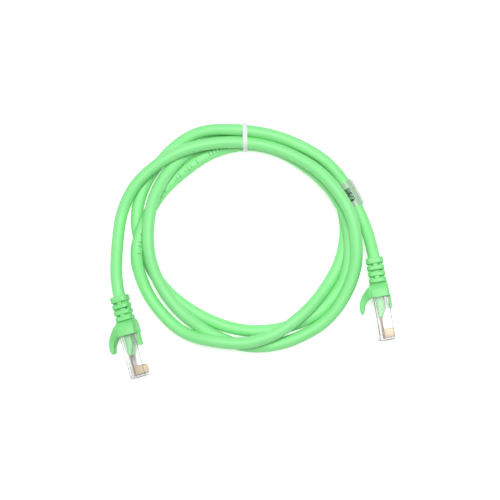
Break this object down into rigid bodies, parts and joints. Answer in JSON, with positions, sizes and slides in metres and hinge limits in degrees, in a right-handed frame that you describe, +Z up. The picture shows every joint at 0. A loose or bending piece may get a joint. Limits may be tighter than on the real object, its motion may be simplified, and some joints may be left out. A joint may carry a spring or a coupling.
{
  "type": "ethernet patch cable",
  "caption": "Green ethernet patch cable, coiled and tied, with clear 8P8C plugs in snagless boots at both ends",
  "frame": {"origin": "the middle of the footprint of both plugs and the tie, on the table the cable rests on", "axes": "+X runs across the coil from the left plug to the right plug, +Y points away from the plugs towards the tie, +Z is up from the table"},
  "size_m": [0.1189, 0.1076, 0.015],
  "materials": {
    "jacket_green": "satin pvc",
    "boot_green": "soft moulded pvc",
    "clear_plastic": "clear polycarbonate",
    "gold_contacts": "gold plated",
    "insulation_orange": "extruded insulation",
    "insulation_green": "extruded insulation",
    "insulation_blue": "extruded insulation",
    "insulation_brown": "extruded insulation",
    "insulation_white_orange": "striped insulation",
    "insulation_white_green": "striped insulation",
    "insulation_white_blue": "striped insulation",
    "insulation_white_brown": "striped insulation",
    "tie_white": "white paper and plastic film",
    "tie_steel": "drawn wire",
    "label_clear": "thin clear film",
    "label_dark": null
  },
  "bodies": {
    "cable": {"cable_jacket": "jacket_green", "orange_pair": "insulation_orange", "green_pair": "insulation_green", "blue_pair": "insulation_blue", "brown_pair": "insulation_brown", "plug_housing_left": "clear_plastic", "cable_boot_left": "boot_green", "contact_blades_left": "gold_contacts", "white_orange_left": "insulation_white_orange", "orange_left": "insulation_orange", "white_green_left": "insulation_white_green", "blue_left": "insulation_blue", "white_blue_left": "insulation_white_blue", "green_left": "insulation_green", "white_brown_left": "insulation_white_brown", "brown_left": "insulation_brown", "plug_housing_right": "clear_plastic", "cable_boot_right": "boot_green", "contact_blades_right": "gold_contacts", "white_orange_right": "insulation_white_orange", "orange_right": "insulation_orange", "white_green_right": "insulation_white_green", "blue_right": "insulation_blue", "white_blue_right": "insulation_white_blue", "green_right": "insulation_green", "white_brown_right": "insulation_white_brown", "brown_right": "insulation_brown", "tie_sheath": "tie_white", "tie_wire": "tie_steel", "label_film": "label_clear", "label_patch": "label_dark"},
    "hood_left": {"boot_hood_left": "boot_green"},
    "latch_left": {"release_latch_left": "clear_plastic"},
    "hood_right": {"boot_hood_right": "boot_green"},
    "latch_right": {"release_latch_right": "clear_plastic"}
  },
  "joints": [
    {"name": "hood_left_press", "type": "hinge", "parent": "cable", "child": "hood_left", "pos_m": [-0.05591, -0.03331, 0.00649], "axis": [-0.1533, -0.0968, 0.9834], "range_deg": [0, 18], "stiffness_Nm_per_rad": 0.0005},
    {"name": "latch_left_bend", "type": "hinge", "parent": "cable", "child": "latch_left", "pos_m": [-0.04941, -0.05183, 0.00568], "axis": [-0.1533, -0.0968, 0.9834], "range_deg": [-10, 0], "stiffness_Nm_per_rad": 0.0005},
    {"name": "hood_right_press", "type": "hinge", "parent": "cable", "child": "hood_right", "pos_m": [0.04793, -0.01714, 0.00669], "axis": [-0.0949, -0.0686, 0.9931], "range_deg": [0, 18], "stiffness_Nm_per_rad": 0.0005},
    {"name": "latch_right_bend", "type": "hinge", "parent": "cable", "child": "latch_right", "pos_m": [0.0523, -0.03627, 0.00578], "axis": [-0.0949, -0.0686, 0.9931], "range_deg": [-10, 0], "stiffness_Nm_per_rad": 0.0005}
  ],
  "couplings": [
    {"joint": "latch_left_bend", "follows": "hood_left_press", "ratio": -0.55},
    {"joint": "latch_right_bend", "follows": "hood_right_press", "ratio": -0.55}
  ]
}
